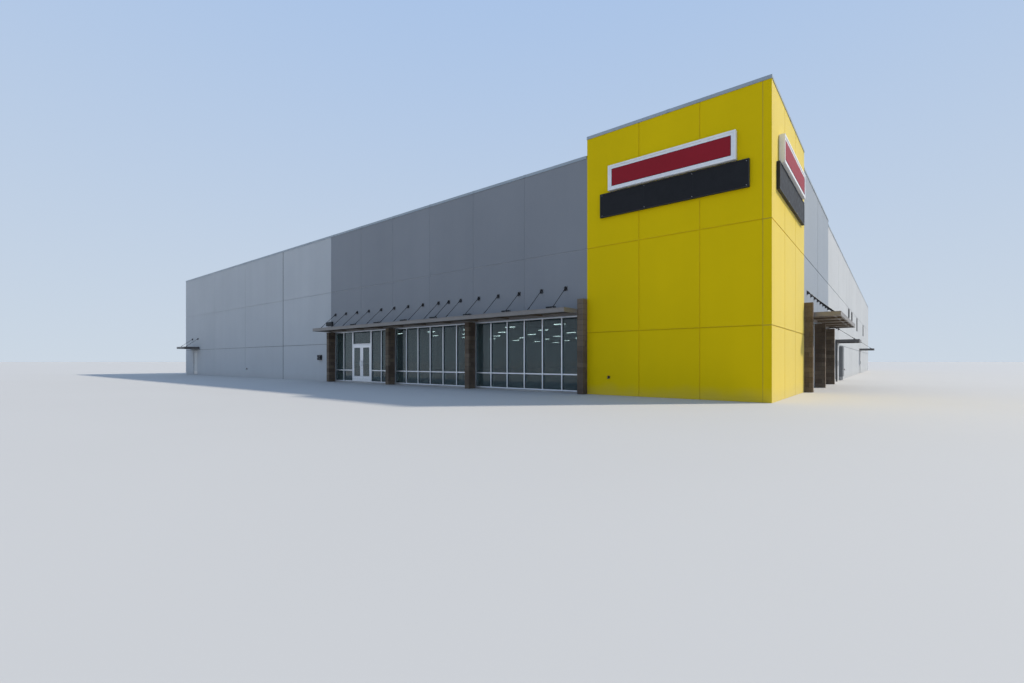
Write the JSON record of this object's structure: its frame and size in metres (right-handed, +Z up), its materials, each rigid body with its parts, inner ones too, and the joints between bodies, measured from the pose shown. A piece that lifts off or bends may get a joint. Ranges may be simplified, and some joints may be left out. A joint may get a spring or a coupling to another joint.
{
  "type": "hardware store building, 1:2 scale model",
  "caption": "One-storey panel-walled retail building with a taller yellow corner block, shop windows between masonry fins, hung canopies and hinged doors.",
  "frame": {"origin": "middle of the overall plan box, at ground level", "axes": "+Z up, the shop front faces -Y, the long side with canopies faces +X"},
  "size_m": [25.76, 33.61, 4.85],
  "materials": {
    "floor": "trowelled concrete",
    "roof": "membrane",
    "yellow_wall": "painted concrete panel",
    "dark_wall": "painted concrete panel",
    "light_wall": "painted concrete panel",
    "coping": "satin",
    "masonry": "split-face block",
    "window_metal": "clear anodised",
    "window_glass": "reflective tint",
    "service_paint": "satin",
    "canopy_metal": "satin",
    "rod_metal": "satin",
    "sign_dark": "satin",
    "sign_white": "satin",
    "fitting_metal": "satin"
  },
  "bodies": {
    "building": {"floor_slab": "floor", "roof_deck": "roof", "tower_front_wall": "yellow_wall", "tower_side_wall": "yellow_wall", "tower_left_return": "yellow_wall", "tower_rear_return": "yellow_wall", "front_dark_wall": "dark_wall", "side_dark_wall": "dark_wall", "front_light_wall_right": "light_wall", "front_light_wall_left": "light_wall", "side_light_wall_near": "light_wall", "side_light_wall_middle": "light_wall", "side_light_wall_far": "light_wall", "left_wall": "light_wall", "back_wall": "light_wall", "door_head_walls": "light_wall", "front_coping": "coping", "side_coping": "coping", "left_coping": "coping", "back_coping": "coping", "tower_coping": "coping", "front_fins": "masonry", "side_fins": "masonry", "front_window_frames": "window_metal", "front_window_glass": "window_glass", "side_window_frames": "window_metal", "side_window_glass": "window_glass", "entrance_transom_frame": "window_metal", "service_door_frames": "service_paint", "front_canopy": "canopy_metal", "side_canopy": "canopy_metal", "small_canopies": "canopy_metal", "canopy_rods": "rod_metal", "canopy_fixtures": "fitting_metal", "sign_bands": "sign_dark", "sign_cabinets": "sign_white", "high_window_glass": "window_glass", "wall_fittings": "fitting_metal"},
    "entrance_left": {"entrance_door_left": "window_metal", "entrance_door_left_glass": "window_glass"},
    "entrance_right": {"entrance_door_right": "window_metal", "entrance_door_right_glass": "window_glass"},
    "front_service": {"front_service_door": "service_paint"},
    "side_service_near": {"side_service_door_near": "service_paint"},
    "side_service_far": {"side_service_door_far": "service_paint"}
  },
  "joints": [
    {"name": "entrance_left_hinge", "type": "hinge", "parent": "building", "child": "entrance_left", "pos_m": [1.27539, -16.145, 0.5], "axis": [0, 0, -1], "range_deg": [0, 90]},
    {"name": "entrance_right_hinge", "type": "hinge", "parent": "building", "child": "entrance_right", "pos_m": [2.17128, -16.145, 0.5], "axis": [0, 0, 1], "range_deg": [0, 90]},
    {"name": "front_service_hinge", "type": "hinge", "parent": "building", "child": "front_service", "pos_m": [-11.3425, -16.193, 0.5], "axis": [0, 0, 1], "range_deg": [0, 90]},
    {"name": "side_service_near_hinge", "type": "hinge", "parent": "building", "child": "side_service_near", "pos_m": [12.268, -6.2825, 0.5], "axis": [0, 0, -1], "range_deg": [0, 90]},
    {"name": "side_service_far_hinge", "type": "hinge", "parent": "building", "child": "side_service_far", "pos_m": [12.268, 6.5675, 0.5], "axis": [0, 0, -1], "range_deg": [0, 90]}
  ]
}
